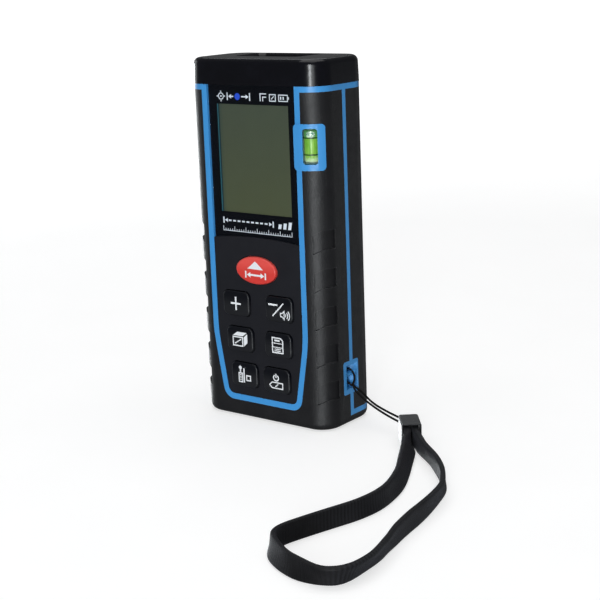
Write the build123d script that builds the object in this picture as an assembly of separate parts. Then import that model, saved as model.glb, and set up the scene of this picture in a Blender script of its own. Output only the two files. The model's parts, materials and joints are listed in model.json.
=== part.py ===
from build123d import *
import math
import os

# Hand-held laser distance meter with a wrist strap, one solid or group of solids per piece.
# Millimetres. +Z is up with the optics end on top, the display faces -Y, and +X is to the
# right of someone reading the display. The origin is the middle of the base it stands on.

# ---------------------------------------------------------------- housing
WIDTH = 53.0
DEPTH = 27.0
HEIGHT = 118.0
CORNER_R = 7.5
BASE_R = 2.5
JACKET = 1.0                    # soft over-moulded jacket
WALL = 1.6                      # hard shell under the jacket
FRONT = DEPTH / 2               # distance from the centre plane to the front or back face
HARD_FACE = FRONT - JACKET      # the hard shell's own face
INNER_FACE = HARD_FACE - WALL
SIDE = WIDTH / 2
INNER_SIDE = SIDE - JACKET - WALL
ARC_X = SIDE - CORNER_R         # centre of a vertical corner radius
ARC_Y = FRONT - CORNER_R

SEAM_Y = -0.1                   # parting plane of the two shells on the sides
SEAM_Z = 3.8                    # parting plane under the rear shell
SEAM_HALF = 0.85                # half of the coloured line along the seam
BAND_TOP = 109.8
BAND_BOTTOM = 108.05

# ---------------------------------------------------------------- top cap
CAP_PROUD = 0.1
CAP_DRAFT = 0.3
CAP_WALL = 1.7
CAP_ROOF = 2.0
CAP_EDGE_R = 2.0
LIP_GAP = 0.2
LIP_WALL = 1.2
LIP_HEIGHT = 3.0
OPTIC_X = -1.0
OPTIC_Y = 3.6
OPTIC_W = 25.0
OPTIC_D = 13.5
OPTIC_SINK = 0.7
OPTIC_GLASS = 1.0

# ---------------------------------------------------------------- front frame, panel and window
FRAME_HALF = 19.5
FRAME_FOOT_HALF = 15.7
FRAME_FOOT_Z = 5.85
FRAME_KNEE_Z = 28.6
FRAME_KNEE_R = 50.0
FRAME_FOOT_R = 4.2
FRAME_LINE = 2.0
PANEL_T = 0.9
PANEL_FACE = HARD_FACE + PANEL_T
WINDOW_EDGE_Z = 60.2            # lower edge of the window at the sides
WINDOW_ARCH = 1.3
MASK_T = 0.1
VIEW_HALF = 14.35
VIEW_BOTTOM = 69.1
VIEW_TOP = 103.7

# ---------------------------------------------------------------- keys
KEY_W = 10.8
KEY_H = 8.2
KEY_R = 1.9
KEY_PROUD = 0.9
KEY_EDGE_R = 0.55
KEY_GAP = 0.15
FLANGE = 0.6
FLANGE_T = 0.7
FLANGE_GAP = 0.1
FLANGE_BACK = HARD_FACE - FLANGE_GAP - FLANGE_T
KEY_TRAVEL = 0.5
STEM_R = 1.5
KEYS = {
    "key_plus": (-8.8, 39.1),
    "key_minus": (8.8, 39.1),
    "key_volume": (-7.85, 27.1),
    "key_memory": (7.85, 27.1),
    "key_unit": (-6.65, 15.1),
    "key_clear": (6.65, 15.1),
    "key_measure": (0.0, 50.9),
}
MEASURE_W = 16.2
MEASURE_H = 9.0
DOME_R = 3.2
DOME_H = 0.35

# ---------------------------------------------------------------- grip notches
NOTCH_PITCH = 12.25
NOTCH_FIRST_Z = 10.4
NOTCH_COUNT = 5
NOTCH_H = 6.1
NOTCH_DROP = 1.5
NOTCH_DEPTH = 0.7
NOTCH_FRONT_DEG = 65.0
NOTCH_KNEE_DEG = 40.0
NOTCH_BACK_DEG = 5.0

# ---------------------------------------------------------------- level vial in the front right corner
VIAL_DEG = 63.0
VIAL_R = 2.5
VIAL_BORE = 3.0
VIAL_CENTRE_R = 4.55
VIAL_BOTTOM = 85.8
VIAL_TOP = 97.4
BEZEL_BOTTOM = 84.2
BEZEL_TOP = 98.5
BEZEL_PROUD = 0.4
BEZEL_DEEP = 6.0
BEZEL_LEFT_X = 17.0
BEZEL_BACK_DEG = 27.0
BEZEL_WINDOW_W = 4.7
BEZEL_WINDOW_H = 11.0
BEZEL_WINDOW_R = 0.9
BEZEL_CORNER_R = 1.3
RING_ZS = (89.0, 94.2)
RING_T = 0.06
RING_HALF = 0.18

# ---------------------------------------------------------------- board, display and optics
BOARD_FACE = 8.9                # board's front face, measured forward from the centre plane
BOARD_T = 1.5
BOARD_BACK = BOARD_FACE - BOARD_T
LCD_HALF = 16.2
LCD_BOTTOM = 66.5
LCD_TOP = 106.5
LCD_T = 2.0
LCD_FACE = HARD_FACE - 0.1
CONNECTOR_H = 1.6
BOARD_STEPS = ((14.6, 8.0, 20.0), (18.6, 20.0, 62.0), (17.6, 62.0, 108.0))  # half width, from z, to z
BENCH_BOTTOM = 74.0
BENCH_TOP = 112.0
BENCH_LEFT = -14.0
BENCH_RIGHT = 12.6
BENCH_FRONT_Y = -4.6
BENCH_BACK_Y = 10.2
RECEIVER_X = -6.0
LASER_X = 7.0
AXIS_Y = 3.6
RECEIVER_R = 6.0
BARREL_R = 3.6

# ---------------------------------------------------------------- batteries and their cover
CELL_R = 5.25
CELL_LENGTH = 43.7
CELL_X = 5.45
CELL_Y = 4.7
BAY_HALF = 11.4
BAY_BOTTOM = 11.0
BAY_TOP = 61.4
BAY_FLOOR_Y = -0.9
BAY_WALL = 1.2
COVER_HALF = 13.5
COVER_BOTTOM = 8.5
COVER_TOP = 64.5
COVER_T = 1.6
COVER_R = 2.0
COVER_GAP = 0.15
TAB_X = 8.0                     # two tabs at the cover's foot hook behind the rear shell
TAB_HALF = 1.9
TAB_SLOT = 4.4
LATCH_X = 5.2                   # two slots leave a springy tongue between them
LATCH_SLOT = 0.8
LATCH_LENGTH = 7.5
GROOVES = 4
GROOVE_PITCH = 1.3

# ---------------------------------------------------------------- screws
SCREWS_XZ = ((20.6, 76.0), (-20.6, 76.0), (17.7, 12.5), (-17.7, 12.5))
SCREW_R = 0.95
HEAD_R = 1.9
HEAD_SEAT_Y = 8.6
HEAD_H = 1.5
SCREW_END_Y = -6.0
BOSS_R = 2.3
SEAT_BOSS_R = 3.0
DRIVE_LONG = 2.2                # cross recess in a screw head
DRIVE_WIDE = 0.5
BOARD_SCREWS_XZ = ((16.3, 33.0), (-16.3, 33.0), (15.8, 62.6), (-15.8, 62.6))
BOARD_SCREW_R = 0.8
BOARD_HEAD_R = 1.6
BOARD_HEAD_H = 1.1
BOARD_BOSS_R = 2.0

# ---------------------------------------------------------------- strap anchor, cord, ferrule, webbing
POCKET_FRONT_Y = -4.4
POCKET_BACK_Y = 3.75
POCKET_RIM = 1.6
POCKET_BOTTOM = 10.4
POCKET_TOP = 21.4
POCKET_CORNER_R = 0.8
POCKET_FLOOR_X = 20.6
POCKET_FLOOR_T = 1.2
POCKET_SLOPE_Y = 0.3            # where the pocket's floor starts to slope out to the back
BAR_X = 24.5
BAR_Z = 16.3
BAR_R = 0.9
CORD_D = 0.7
CORD_ROUTE = (
    (50.42, -2.9, 4.9), (45.9, -0.5, 5.0), (39.2, 1.1, 5.8), (32.9, 1.6, 7.7), (28.9, 1.2, 11.5),
    (23.2, 0.2, 13.9), (23.2, -0.3, 17.7), (26.4, -0.7, 19.0), (28.6, -0.9, 16.6),
    (27.3, -1.1, 12.7), (31.4, -1.1, 9.6), (37.0, -1.15, 6.8), (43.6, -1.75, 4.8),
    (49.5, -3.65, 4.4),
)
CORD_WRAP = (5, 6)              # corners that go round the anchor bar
CORD_WRAP_R = BAR_R + CORD_D / 2
FERRULE_L = 9.6
FERRULE_W = 6.2
FERRULE_H = 8.2
FERRULE_WALL = 0.6
FERRULE_EDGE_R = 0.7
FERRULE_AT = (53.05, -7.1)
FERRULE_DEG = -51.0
FERRULE_MOUTH = 4.6
WEB_W = 6.0
WEB_T = 2.2
WEB_ROUTE = (
    (52.72, -8.53, 3.8), (57.8, -14.7, 3.6), (64.3, -27.3, 3.1), (72.3, -42.8, 3.05),
    (75.6, -60.1, 3.1), (69.1, -79.6, 3.05), (65.7, -92.3, 3.1), (69.7, -98.2, 3.05),
    (80.9, -104.3, 3.1), (94.0, -104.0, 3.05), (95.2, -89.7, 3.1), (90.4, -71.0, 3.05),
    (88.4, -53.0, 3.1), (84.2, -37.3, 3.05), (73.9, -24.7, 3.1), (59.55, -13.3, 3.6),
    (54.51, -7.08, 3.8),
)

parts = {}


# ================================================================ helpers
def housing_block(inset, bottom, top):
    """The housing's outer form moved inwards by inset, its base edge rounded."""
    outline = RectangleRounded(WIDTH - 2 * inset, DEPTH - 2 * inset, CORNER_R - inset)
    block = extrude(Plane.XY.offset(bottom) * outline, amount=top - bottom)
    edge_r = BASE_R - inset
    if bottom == inset and edge_r > 0.1:
        block = fillet(block.edges().group_by(Axis.Z)[0], edge_r)
    return block


def front_prism(outline, near, far):
    """An outline drawn in the front view (x, z), solid from y = -near to y = -far."""
    return extrude(Plane.XZ.offset(near) * outline, amount=far - near)


def side_prism(points, x_from, x_to):
    """A polygon drawn in the side view (y, z), solid between two x values."""
    outline = make_face(Polyline(*points, close=True))
    return extrude(Plane.YZ.offset(x_from) * outline, amount=x_to - x_from)


def box_between(low, high):
    size = [b - a for a, b in zip(low, high)]
    middle = [(a + b) / 2 for a, b in zip(low, high)]
    return Pos(*middle) * Box(*size)


def rod_y(x, z, radius, y_from, y_to):
    """A cylinder along Y."""
    middle = (y_from + y_to) / 2
    return Pos(x, middle, z) * Rot(90, 0, 0) * Cylinder(radius, abs(y_to - y_from))


def rod_z(x, y, radius, z_from, z_to):
    """A cylinder along Z."""
    return Pos(x, y, (z_from + z_to) / 2) * Cylinder(radius, z_to - z_from)


def corner_point(degrees, radius):
    """A point about the front right corner's axis; 90 degrees faces the front, 0 the side."""
    angle = math.radians(degrees)
    return (ARC_X + radius * math.cos(angle), -ARC_Y - radius * math.sin(angle))


def group(solids):
    return Compound(children=list(solids))


# ================================================================ shared regions
body = housing_block(0, 0, BAND_TOP)
hard = housing_block(JACKET, JACKET, BAND_TOP)
cavity = housing_block(JACKET + WALL, JACKET + WALL, BAND_TOP + 1)
skin = body - hard
wall = hard - cavity

FAR = 200.0
front_half = side_prism(
    [(-FAR, -5), (FAR, -5), (FAR, SEAM_Z), (SEAM_Y, SEAM_Z), (SEAM_Y, FAR), (-FAR, FAR)], -FAR, FAR)
line_front = SEAM_Y - SEAM_HALF
line_back = SEAM_Y + SEAM_HALF
line_bottom = SEAM_Z - SEAM_HALF
line_top = SEAM_Z + SEAM_HALF
front_jacket_zone = side_prism(
    [(-FAR, -5), (FAR, -5), (FAR, line_bottom), (line_front, line_bottom),
     (line_front, BAND_BOTTOM), (-FAR, BAND_BOTTOM)], -FAR, FAR)
rear_jacket_zone = side_prism(
    [(line_back, line_top), (FAR, line_top), (FAR, BAND_BOTTOM), (line_back, BAND_BOTTOM)], -FAR, FAR)


def frame_outline(inset):
    """The front frame's outline: straight sides that draw in below the knee, rounded foot."""
    points = [
        (-FRAME_FOOT_HALF, FRAME_FOOT_Z), (FRAME_FOOT_HALF, FRAME_FOOT_Z),
        (FRAME_HALF, FRAME_KNEE_Z), (FRAME_HALF, HEIGHT + 8),
        (-FRAME_HALF, HEIGHT + 8), (-FRAME_HALF, FRAME_KNEE_Z),
    ]
    outline = make_face(Polyline(*points, close=True))
    outline = fillet(outline.vertices().group_by(Axis.Y)[0], FRAME_FOOT_R)
    knees = [v for v in outline.vertices() if abs(v.Y - FRAME_KNEE_Z) < 0.01]
    outline = fillet(knees, FRAME_KNEE_R)
    return offset(outline, amount=-inset, kind=Kind.INTERSECTION) if inset else outline


frame_zone = front_prism(frame_outline(0), ARC_Y, FRONT + 5)
panel_zone = front_prism(frame_outline(FRAME_LINE), ARC_Y, FRONT + 5)
panel_zone = panel_zone & box_between((-FAR, -FAR, -FAR), (FAR, FAR, BAND_TOP))


def bezel_region(proud, deep):
    """The wedge of the front right corner that the level's bezel fills."""
    ring = housing_block(-proud, BEZEL_BOTTOM, BEZEL_TOP) - housing_block(deep, BEZEL_BOTTOM, BEZEL_TOP)
    back = corner_point(BEZEL_BACK_DEG, 3 * CORNER_R)
    plan = [(BEZEL_LEFT_X, -ARC_Y), (BEZEL_LEFT_X, -FRONT - 9), (back[0], -FRONT - 9), back, (ARC_X, -ARC_Y)]
    wedge = extrude(Plane.XY.offset(BEZEL_BOTTOM) * make_face(Polyline(*plan, close=True)),
                    amount=BEZEL_TOP - BEZEL_BOTTOM)
    block = ring & wedge
    ends = [e for e in block.edges().filter_by(GeomType.LINE)
            if abs(e.center().Z - BEZEL_BOTTOM) < 0.01 or abs(e.center().Z - BEZEL_TOP) < 0.01]
    run_out = Vector(*corner_point(BEZEL_BACK_DEG, 1.0)) - Vector(ARC_X, -ARC_Y)
    left = [e for e in ends if abs(e.center().X - BEZEL_LEFT_X) < 0.01]
    right = [e for e in ends if abs(abs((e % 0).dot(run_out)) - 1) < 0.001]
    return fillet(left + right, BEZEL_CORNER_R)


bezel_zone = bezel_region(BEZEL_PROUD, BEZEL_DEEP)

pocket_middle = Pos((POCKET_FRONT_Y + POCKET_BACK_Y) / 2, (POCKET_BOTTOM + POCKET_TOP) / 2)
pocket_outline = pocket_middle * RectangleRounded(
    POCKET_BACK_Y - POCKET_FRONT_Y, POCKET_TOP - POCKET_BOTTOM, POCKET_CORNER_R)
pocket_zone = extrude(Plane.YZ.offset(POCKET_FLOOR_X - POCKET_FLOOR_T) * pocket_outline, amount=SIDE)
pocket_void_plan = [
    (SIDE + 5, POCKET_FRONT_Y + POCKET_RIM), (POCKET_FLOOR_X, POCKET_FRONT_Y + POCKET_RIM),
    (POCKET_FLOOR_X, POCKET_SLOPE_Y), (SIDE, POCKET_BACK_Y - 0.5), (SIDE + 5, POCKET_BACK_Y + 1.5)]
pocket_void = extrude(
    Plane.XY.offset(POCKET_BOTTOM + POCKET_RIM) * make_face(Polyline(*pocket_void_plan, close=True)),
    amount=POCKET_TOP - POCKET_BOTTOM - 1.9 * POCKET_RIM)
pocket_block = body & pocket_zone
anchor_bar = rod_y(BAR_X, BAR_Z, BAR_R, POCKET_FRONT_Y + 0.5, 2.6)


def key_outline(name, grow=0.0):
    """A key's outline in the front view, grown on all sides."""
    x, z = KEYS[name]
    if name == "key_measure":
        return Pos(x, z) * Ellipse(MEASURE_W / 2 + grow, MEASURE_H / 2 + grow)
    return Pos(x, z) * RectangleRounded(KEY_W + 2 * grow, KEY_H + 2 * grow, KEY_R + grow)


# ================================================================ jackets
def grip_notch(z_low):
    """A parallelogram across a front corner, level on the side and falling towards the front."""
    across = [corner_point(d, CORNER_R) for d in (NOTCH_FRONT_DEG, NOTCH_KNEE_DEG, NOTCH_BACK_DEG)]
    s = [(x + y) / math.sqrt(2) for x, y in across]
    z_top = z_low + NOTCH_H
    outline = [(s[0], z_low - NOTCH_DROP), (s[1], z_low), (s[2], z_low),
               (s[2], z_top), (s[1], z_top), (s[0], z_top - NOTCH_DROP)]
    view = Plane(origin=(0, 0, 0), x_dir=(1, 1, 0), z_dir=(1, -1, 0))
    return extrude(view * make_face(Polyline(*outline, close=True)), amount=60)


notch_layer = body - housing_block(NOTCH_DEPTH, NOTCH_DEPTH, BAND_TOP)
notches = [grip_notch(NOTCH_FIRST_Z + i * NOTCH_PITCH) & notch_layer for i in range(NOTCH_COUNT)]

front_skin = skin & front_jacket_zone
front_jacket_full = front_skin - frame_zone - pocket_zone
front_jacket = front_jacket_full - bezel_zone
for notch in notches:
    front_jacket -= notch
    front_jacket -= mirror(notch, about=Plane.YZ)
parts["front_jacket"] = front_jacket

cover_outline = Pos(0, (COVER_BOTTOM + COVER_TOP) / 2) * RectangleRounded(
    2 * COVER_HALF, COVER_TOP - COVER_BOTTOM, COVER_R)
cover_hole = front_prism(offset(cover_outline, COVER_GAP), -FRONT - 2, -FRONT + COVER_T)
screw_holes = [rod_y(x, z, HEAD_R + 0.3, HEAD_SEAT_Y, FRONT + 2) for x, z in SCREWS_XZ]
thumb_dip = rod_y(0, COVER_TOP + 0.5, 6.0, FRONT - 0.7, FRONT + 2)

rear_jacket_full = skin & rear_jacket_zone
rear_jacket = rear_jacket_full - pocket_zone - cover_hole - thumb_dip
for hole in screw_holes:
    rear_jacket -= hole
parts["rear_jacket"] = rear_jacket


# ================================================================ hard shells
def lip_ring():
    inset = CAP_WALL + LIP_GAP
    outer = housing_block(inset, BAND_TOP - 1.5, BAND_TOP + LIP_HEIGHT)
    inner = housing_block(inset + LIP_WALL, BAND_TOP - 1.5, BAND_TOP + LIP_HEIGHT)
    return outer - inner


def make_front_shell():
    lines = (skin & front_half) - front_jacket_full - panel_zone
    shell = (wall & front_half) + lines + (pocket_block & front_half)
    shell += lip_ring() & front_half
    for x, z in SCREWS_XZ:
        shell += rod_y(x, z, BOSS_R, SEAM_Y, -INNER_FACE - 0.3) & housing_block(2.0, 2.0, BAND_TOP)
    for x, z in BOARD_SCREWS_XZ:
        shell += rod_y(x, z, BOARD_BOSS_R, -BOARD_FACE, -INNER_FACE - 0.3)
    shell -= pocket_void
    shell += anchor_bar
    shell -= bezel_zone
    for x, z in SCREWS_XZ:
        shell -= rod_y(x, z, SCREW_R, SEAM_Y + 1, -7.5)
    for x, z in BOARD_SCREWS_XZ:
        shell -= rod_y(x, z, BOARD_SCREW_R, -BOARD_FACE + 1, -INNER_FACE - 0.6)
    display = Pos(0, (LCD_BOTTOM + LCD_TOP) / 2) * Rectangle(2 * LCD_HALF + 0.2, LCD_TOP - LCD_BOTTOM + 0.2)
    shell -= front_prism(display, INNER_FACE - 0.5, FRONT)
    for name in KEYS:
        shell -= front_prism(key_outline(name, FLANGE + 0.3), INNER_FACE - 0.5, FRONT)
    return shell


def make_rear_shell():
    lines = (skin - front_half) - rear_jacket_full
    shell = (wall - front_half) + lines + (pocket_block - front_half)
    shell += lip_ring() - front_half
    tray_out = box_between((-BAY_HALF - BAY_WALL, BAY_FLOOR_Y - BAY_WALL, BAY_BOTTOM - BAY_WALL),
                           (BAY_HALF + BAY_WALL, HARD_FACE, BAY_TOP + BAY_WALL))
    shell += tray_out
    for x, z in SCREWS_XZ:
        shell += rod_y(x, z, BOSS_R, SEAM_Y, INNER_FACE) & housing_block(WALL, WALL, BAND_TOP)
        seat = rod_y(x, z, SEAT_BOSS_R, HEAD_SEAT_Y - 1.2, INNER_FACE + 1)
        shell += seat & housing_block(WALL, WALL, BAND_TOP)
    shell -= pocket_void
    shell -= rod_y(BAR_X, BAR_Z, BAR_R + 0.02, POCKET_FRONT_Y, 2.65)
    shell -= box_between((-BAY_HALF, BAY_FLOOR_Y, BAY_BOTTOM), (BAY_HALF, FRONT + 1, BAY_TOP))
    shell -= cover_hole
    for side in (-1, 1):
        shell -= Pos(side * TAB_X, 11.2, 9.0) * Box(TAB_SLOT, 1.6, TAB_SLOT)
    for x, z in SCREWS_XZ:
        shell -= rod_y(x, z, SCREW_R + 0.15, SEAM_Y - 1, FRONT)
        shell -= rod_y(x, z, HEAD_R + 0.3, HEAD_SEAT_Y, FRONT + 2)
    return shell


# ================================================================ keys, panel, window
for name, (x, z) in KEYS.items():
    cap = front_prism(key_outline(name), FLANGE_BACK, PANEL_FACE + KEY_PROUD)
    cap = fillet(cap.edges().group_by(Axis.Y)[0], KEY_EDGE_R)
    flange = front_prism(key_outline(name, FLANGE), FLANGE_BACK, HARD_FACE - FLANGE_GAP)
    stem = rod_y(x, z, STEM_R, -FLANGE_BACK - 0.2, -BOARD_FACE - DOME_H - KEY_TRAVEL - 0.05)
    parts[name] = cap + flange + stem

window_split = make_face(
    ThreePointArc((-30, WINDOW_EDGE_Z - 2.0), (0, WINDOW_EDGE_Z + WINDOW_ARCH), (30, WINDOW_EDGE_Z - 2.0))
    + Polyline((30, WINDOW_EDGE_Z - 2.0), (30, HEIGHT + 20), (-30, HEIGHT + 20), (-30, WINDOW_EDGE_Z - 2.0)))
above_split = front_prism(window_split, ARC_Y, FRONT + 5)
panel_layer = panel_zone & (housing_block(FRONT - PANEL_FACE, 0, BAND_TOP) - hard)

keypad_panel = panel_layer - above_split
for name in KEYS:
    keypad_panel -= front_prism(key_outline(name, KEY_GAP), HARD_FACE - 1, FRONT + 1)
parts["keypad_panel"] = keypad_panel

window_body = (panel_layer & above_split) - bezel_zone
mask_slab = box_between((-SIDE, -HARD_FACE - MASK_T, 0), (SIDE, 0, HEIGHT))
view_hole = box_between((-VIEW_HALF, -FRONT, VIEW_BOTTOM), (VIEW_HALF, 0, VIEW_TOP))
parts["window_mask"] = (window_body & mask_slab) - view_hole
parts["display_window"] = window_body - mask_slab

parts["front_shell"] = make_front_shell()
parts["rear_shell"] = make_rear_shell()


# ================================================================ top cap and its optic window
def make_top_cap():
    base = Plane.XY.offset(BAND_TOP) * RectangleRounded(
        WIDTH + 2 * CAP_PROUD, DEPTH + 2 * CAP_PROUD, CORNER_R + CAP_PROUD)
    inset = CAP_DRAFT - CAP_PROUD
    top = Plane.XY.offset(HEIGHT) * RectangleRounded(
        WIDTH - 2 * inset, DEPTH - 2 * inset, CORNER_R - inset)
    cap = loft([base, top], ruled=True)
    cap = fillet(cap.edges().group_by(Axis.Z)[-1], CAP_EDGE_R)
    cap -= housing_block(CAP_WALL, BAND_TOP - 1, HEIGHT - CAP_ROOF)
    glass = Pos(OPTIC_X, OPTIC_Y) * RectangleRounded(OPTIC_W, OPTIC_D, 2.0)
    rim = Pos(OPTIC_X, OPTIC_Y) * RectangleRounded(OPTIC_W + 1.6, OPTIC_D + 1.6, 2.8)
    sink = HEIGHT - OPTIC_SINK
    cap -= extrude(Plane.XY.offset(sink - OPTIC_GLASS) * glass, amount=10)
    cap -= loft([Plane.XY.offset(sink) * glass, Plane.XY.offset(HEIGHT + 0.001) * rim], ruled=True)
    cap -= rod_z(RECEIVER_X, AXIS_Y, RECEIVER_R, BAND_TOP, HEIGHT)
    cap -= rod_z(LASER_X, AXIS_Y, 2.4, BAND_TOP, HEIGHT)
    return cap


parts["top_cap"] = make_top_cap()
optic_plan = Pos(OPTIC_X, OPTIC_Y) * RectangleRounded(OPTIC_W, OPTIC_D, 2.0)
optic_base = HEIGHT - OPTIC_SINK - OPTIC_GLASS
parts["optic_window"] = extrude(Plane.XY.offset(optic_base) * optic_plan, amount=OPTIC_GLASS)


# ================================================================ level
vial_x, vial_y = corner_point(VIAL_DEG, VIAL_CENTRE_R)
bore = rod_z(vial_x, vial_y, VIAL_BORE, VIAL_BOTTOM, VIAL_TOP)
outward = Plane(origin=(vial_x, vial_y, (VIAL_BOTTOM + VIAL_TOP) / 2),
                x_dir=(math.sin(math.radians(VIAL_DEG)), math.cos(math.radians(VIAL_DEG)), 0),
                z_dir=(math.cos(math.radians(VIAL_DEG)), -math.sin(math.radians(VIAL_DEG)), 0))
window_cut = extrude(outward * RectangleRounded(BEZEL_WINDOW_W, BEZEL_WINDOW_H, BEZEL_WINDOW_R), amount=8)
parts["vial_bezel"] = bezel_zone - bore - window_cut

vial = rod_z(vial_x, vial_y, VIAL_R, VIAL_BOTTOM, VIAL_TOP)
liquid = rod_z(vial_x, vial_y, VIAL_R - 0.6, VIAL_BOTTOM + 1.0, VIAL_TOP - 1.0)
bubble = Pos(vial_x, vial_y, VIAL_TOP - 2.35) * Sphere(1.3)
parts["level_vial"] = vial - liquid
parts["vial_liquid"] = liquid - bubble
parts["vial_rings"] = group(
    rod_z(vial_x, vial_y, VIAL_R + RING_T, z - RING_HALF, z + RING_HALF) - vial for z in RING_ZS)
sleeve = bore - rod_z(vial_x, vial_y, VIAL_R + 0.1, VIAL_BOTTOM, VIAL_TOP)
behind = extrude(outward.offset(-0.6) * Rectangle(20, 30), amount=-10)
parts["vial_reflector"] = sleeve & behind


# ================================================================ display, board and what sits on it
def rect_ring(x_half, z_low, z_high, inner_half, inner_low, inner_high, near, far):
    outer = Pos(0, (z_low + z_high) / 2) * Rectangle(2 * x_half, z_high - z_low)
    inner = Pos(0, (inner_low + inner_high) / 2) * Rectangle(2 * inner_half, inner_high - inner_low)
    return front_prism(outer - inner, near, far)


guide_bottom = LCD_BOTTOM + CONNECTOR_H
guide_front = LCD_FACE - LCD_T
parts["lcd_glass"] = box_between((-LCD_HALF, -LCD_FACE, LCD_BOTTOM), (LCD_HALF, -guide_front, LCD_TOP))
parts["lcd_light_guide"] = box_between(
    (-LCD_HALF, -guide_front, guide_bottom), (LCD_HALF, -BOARD_FACE, LCD_TOP))
parts["lcd_connector"] = box_between(
    (-LCD_HALF, -guide_front, LCD_BOTTOM), (LCD_HALF, -BOARD_FACE, guide_bottom))
lcd_frame = rect_ring(
    17.6, LCD_BOTTOM - 1.4, LCD_TOP + 1.2, LCD_HALF, LCD_BOTTOM, LCD_TOP, BOARD_FACE, INNER_FACE)
parts["lcd_frame"] = lcd_frame - bezel_zone

low_step, middle_step, high_step = (
    box_between((-half, -BOARD_FACE, z_from), (half, -BOARD_BACK, z_to))
    for half, z_from, z_to in BOARD_STEPS)
board = low_step + middle_step + high_step
board -= box_between((16.4, -FRONT, BEZEL_BOTTOM - 1), (SIDE, 0, BEZEL_TOP + 1))
for x, z in BOARD_SCREWS_XZ:
    board -= rod_y(x, z, 0.9, -BOARD_FACE - 1, -BOARD_BACK + 1)
parts["main_board"] = board

parts["board_screws"] = group(
    rod_y(x, z, BOARD_SCREW_R, -BOARD_BACK, -INNER_FACE - 0.5)
    + rod_y(x, z, BOARD_HEAD_R, -BOARD_BACK, -BOARD_BACK + BOARD_HEAD_H)
    for x, z in BOARD_SCREWS_XZ)


def key_dome(x, z):
    """A snap dome: a shallow spherical cap standing on the board."""
    ball_r = DOME_R ** 2 / (2 * DOME_H) + DOME_H / 2
    ball = Pos(x, -BOARD_FACE - DOME_H + ball_r, z) * Sphere(ball_r)
    return ball & rod_y(x, z, DOME_R, -BOARD_FACE - 1, -BOARD_FACE)


parts["key_domes"] = group(key_dome(x, z) for x, z in KEYS.values())

CHIPS = (
    ((-2.0, 52.0), (10.0, 10.0), 1.4), ((9.5, 42.0), (6.0, 5.0), 1.2),
    ((-10.0, 38.0), (5.0, 6.0), 1.5), ((1.5, 31.0), (8.0, 3.2), 2.2), ((8.0, 66.5), (7.0, 5.0), 1.2),
)
parts["board_chips"] = group(
    box_between((x - w / 2, -BOARD_BACK, z - h / 2), (x + w / 2, -BOARD_BACK + t, z + h / 2))
    for (x, z), (w, h), t in CHIPS)
parts["buzzer"] = rod_y(-9.0, 67.0, 4.6, -BOARD_BACK, -BOARD_BACK + 2.4) - rod_y(
    -9.0, 67.0, 0.8, -BOARD_BACK + 1.6, -BOARD_BACK + 3)


# ================================================================ optics
def lens(x, y, z_base, radius, edge, crown):
    """A plano-convex lens, its crown upwards."""
    ball_r = (radius ** 2 + crown ** 2) / (2 * crown)
    ball = Pos(x, y, z_base + edge + crown - ball_r) * Sphere(ball_r)
    return rod_z(x, y, radius, z_base, z_base + edge) + (
        ball & rod_z(x, y, radius, z_base + edge - 0.2, z_base + edge + crown + 1))


bench = box_between((BENCH_LEFT, BENCH_FRONT_Y, BENCH_BOTTOM), (BENCH_RIGHT, BENCH_BACK_Y, BENCH_TOP - 1.0))
bench -= rod_z(RECEIVER_X, AXIS_Y, RECEIVER_R - 0.8, BENCH_BOTTOM - 1, BENCH_TOP)
bench -= rod_z(RECEIVER_X, AXIS_Y, RECEIVER_R, BENCH_TOP - 4.5, BENCH_TOP)
bench -= rod_z(LASER_X, AXIS_Y, BARREL_R, BENCH_BOTTOM - 1, BENCH_TOP)
bench -= box_between((-12.0, -6.0, 80.0), (2.0, -3.6, 104.0))
parts["optical_bench"] = bench
parts["receiver_lens"] = lens(RECEIVER_X, AXIS_Y, BENCH_TOP - 4.5, RECEIVER_R, 2.0, 1.6)
barrel = rod_z(LASER_X, AXIS_Y, BARREL_R, 92.0, BENCH_TOP)
barrel -= rod_z(LASER_X, AXIS_Y, 2.0, 91.0, BENCH_TOP + 1)
barrel -= rod_z(LASER_X, AXIS_Y, 2.6, BENCH_TOP - 2.6, BENCH_TOP + 1)
barrel -= rod_z(LASER_X, AXIS_Y, 2.8, 91.0, 94.0)
parts["laser_barrel"] = barrel
parts["laser_lens"] = lens(LASER_X, AXIS_Y, BENCH_TOP - 2.6, 2.6, 1.0, 0.8)
diode = rod_z(LASER_X, AXIS_Y, 2.8, 92.8, 94.0) + rod_z(LASER_X, AXIS_Y, 1.7, 94.0, 96.4)
for angle in (90, 210, 330):
    pin_x = LASER_X + 1.27 * math.cos(math.radians(angle))
    pin_y = AXIS_Y + 1.27 * math.sin(math.radians(angle))
    diode += rod_z(pin_x, pin_y, 0.22, 86.8, 92.9)
parts["laser_diode"] = diode
parts["receiver_board"] = box_between(
    (BENCH_LEFT, BENCH_FRONT_Y, BENCH_BOTTOM - 1.2), (2.0, BENCH_BACK_Y, BENCH_BOTTOM))
parts["receiver_diode"] = rod_z(RECEIVER_X, AXIS_Y, 2.7, BENCH_BOTTOM, BENCH_BOTTOM + 0.6) + rod_z(
    RECEIVER_X, AXIS_Y, 2.3, BENCH_BOTTOM + 0.5, BENCH_BOTTOM + 3.6)

# ================================================================ batteries
CONTACT_T = 0.4
CELL_BOTTOM = BAY_BOTTOM + CONTACT_T + 4.2
NUB_H = 0.9
NUB_R = 1.9
SPRING_GAP = 0.05
SPRING_R = 2.6
SPRING_WIRE_R = 0.3
SPRING_TURNS = 4


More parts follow.
